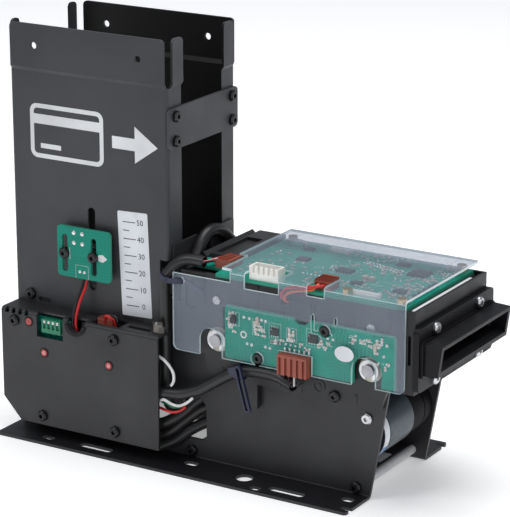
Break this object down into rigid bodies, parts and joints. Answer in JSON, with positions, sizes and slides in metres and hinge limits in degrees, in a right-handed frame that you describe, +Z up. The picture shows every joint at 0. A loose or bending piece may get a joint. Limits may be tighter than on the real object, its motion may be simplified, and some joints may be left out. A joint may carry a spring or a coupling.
{
  "type": "motorised card dispenser",
  "caption": "Motorised card dispenser: an upright card hopper on a bent sheet base, a belt-driven card transport and reader, and a card mouth.",
  "frame": {"origin": "centre of the four long fixing slots, on the underside of the base", "axes": "+X the way the cards travel, from the hopper to the mouth; +Y from the front (control box) to the rear; +Z up"},
  "size_m": [0.2412, 0.103, 0.206],
  "materials": {
    "black_paint": "satin black powder coat",
    "hopper_paint": "matt dark grey powder coat",
    "steel": "bright zinc-plated or turned steel",
    "black_screw": "black oxide",
    "brass": "plain brass",
    "green_board": "green solder mask over glass fibre",
    "green_plastic": "moulded",
    "led_lens": "clear red lens",
    "black_rubber": "soft",
    "moulded_black": "fine moulded grain",
    "clear_plastic": "clear, slightly smoky",
    "cream_plastic": "moulded",
    "brown_plastic": "moulded",
    "bushing_plastic": "low-friction moulding",
    "motor_metal": "plated steel can",
    "gearbox_metal": "cast and machined",
    "belt_rubber": "smooth",
    "sleeve_plastic": "flexible tubing",
    "wire_insulation": "coloured insulation",
    "navy_plastic": "cable tie",
    "roller_rubber": "ground rubber",
    "pulley_plastic": "moulded"
  },
  "bodies": {
    "frame": {"side_plate_front": "black_paint", "side_plate_rear": "black_paint", "spacer_rods": "steel", "cross_plate": "black_paint", "hopper_front": "hopper_paint", "hopper_rear": "hopper_paint", "hopper_tie_plate": "hopper_paint", "throat_plate": "black_paint", "hopper_floor": "black_paint", "m3_screws": "black_screw", "silver_screws": "steel", "standoffs": "brass", "control_box": "black_paint", "control_board": "green_board", "header_block": "green_plastic", "status_leds": "led_lens", "cable_grommet": "black_rubber", "earth_stud": "steel", "reader_lower_housing": "moulded_black", "reader_upper_housing": "moulded_black", "entry_cover": "moulded_black", "end_plate": "black_paint", "mouth_bezel": "moulded_black", "clear_cover": "clear_plastic", "main_board": "green_board", "power_connector": "cream_plastic", "brown_connectors": "brown_plastic", "sensor_board": "green_board", "read_head": "steel", "contact_block": "cream_plastic", "bushings": "bushing_plastic", "motor_can": "motor_metal", "motor_gearbox": "gearbox_metal", "drive_belts": "belt_rubber", "harness_sleeves": "sleeve_plastic", "harness_wires": "wire_insulation", "zip_tie": "navy_plastic", "low_card_wires": "wire_insulation"},
    "low_card_slider": {"low_card_board": "green_board", "low_card_sensor": "moulded_black"},
    "feed_axle": {"feed_shaft": "steel", "feed_rollers": "roller_rubber", "feed_pulley": "pulley_plastic"},
    "entry_axle": {"entry_shaft": "steel", "entry_rollers": "roller_rubber", "entry_pulley": "pulley_plastic", "entry_clips": "steel"},
    "exit_axle": {"exit_shaft": "steel", "exit_rollers": "roller_rubber", "exit_pulley": "pulley_plastic", "exit_clips": "steel"},
    "entry_pinch": {"entry_pinch_shaft": "steel", "entry_pinch_rollers": "roller_rubber"},
    "exit_pinch": {"exit_pinch_shaft": "steel", "exit_pinch_rollers": "roller_rubber"},
    "motor_output": {"motor_shaft": "steel", "motor_pulley": "pulley_plastic"}
  },
  "joints": [
    {"name": "low_card_slide", "type": "slide", "parent": "frame", "child": "low_card_slider", "axis": [0, 0, 1], "range_m": [-0.0075, 0.0075], "deforming": ["low_card_wires"]},
    {"name": "exit_spin", "type": "hinge", "parent": "frame", "child": "exit_axle", "pos_m": [0.0915, 0, 0.0655], "axis": [0, 1, 0], "continuous": true},
    {"name": "entry_spin", "type": "hinge", "parent": "frame", "child": "entry_axle", "pos_m": [0.0095, 0, 0.0655], "axis": [0, 1, 0], "continuous": true},
    {"name": "feed_spin", "type": "hinge", "parent": "frame", "child": "feed_axle", "pos_m": [-0.04, 0, 0.0655], "axis": [0, 1, 0], "continuous": true},
    {"name": "entry_pinch_spin", "type": "hinge", "parent": "frame", "child": "entry_pinch", "pos_m": [0.0095, 0, 0.0853], "axis": [0, 1, 0], "continuous": true},
    {"name": "exit_pinch_spin", "type": "hinge", "parent": "frame", "child": "exit_pinch", "pos_m": [0.0915, 0, 0.0853], "axis": [0, 1, 0], "continuous": true},
    {"name": "motor_spin", "type": "hinge", "parent": "frame", "child": "motor_output", "pos_m": [0.08, 0, 0.0295], "axis": [0, 1, 0], "continuous": true}
  ],
  "couplings": [
    {"joint": "entry_spin", "follows": "exit_spin", "ratio": 1},
    {"joint": "feed_spin", "follows": "exit_spin", "ratio": 1},
    {"joint": "entry_pinch_spin", "follows": "exit_spin", "ratio": -1},
    {"joint": "exit_pinch_spin", "follows": "exit_spin", "ratio": -1},
    {"joint": "motor_spin", "follows": "exit_spin", "ratio": 1.5217}
  ]
}
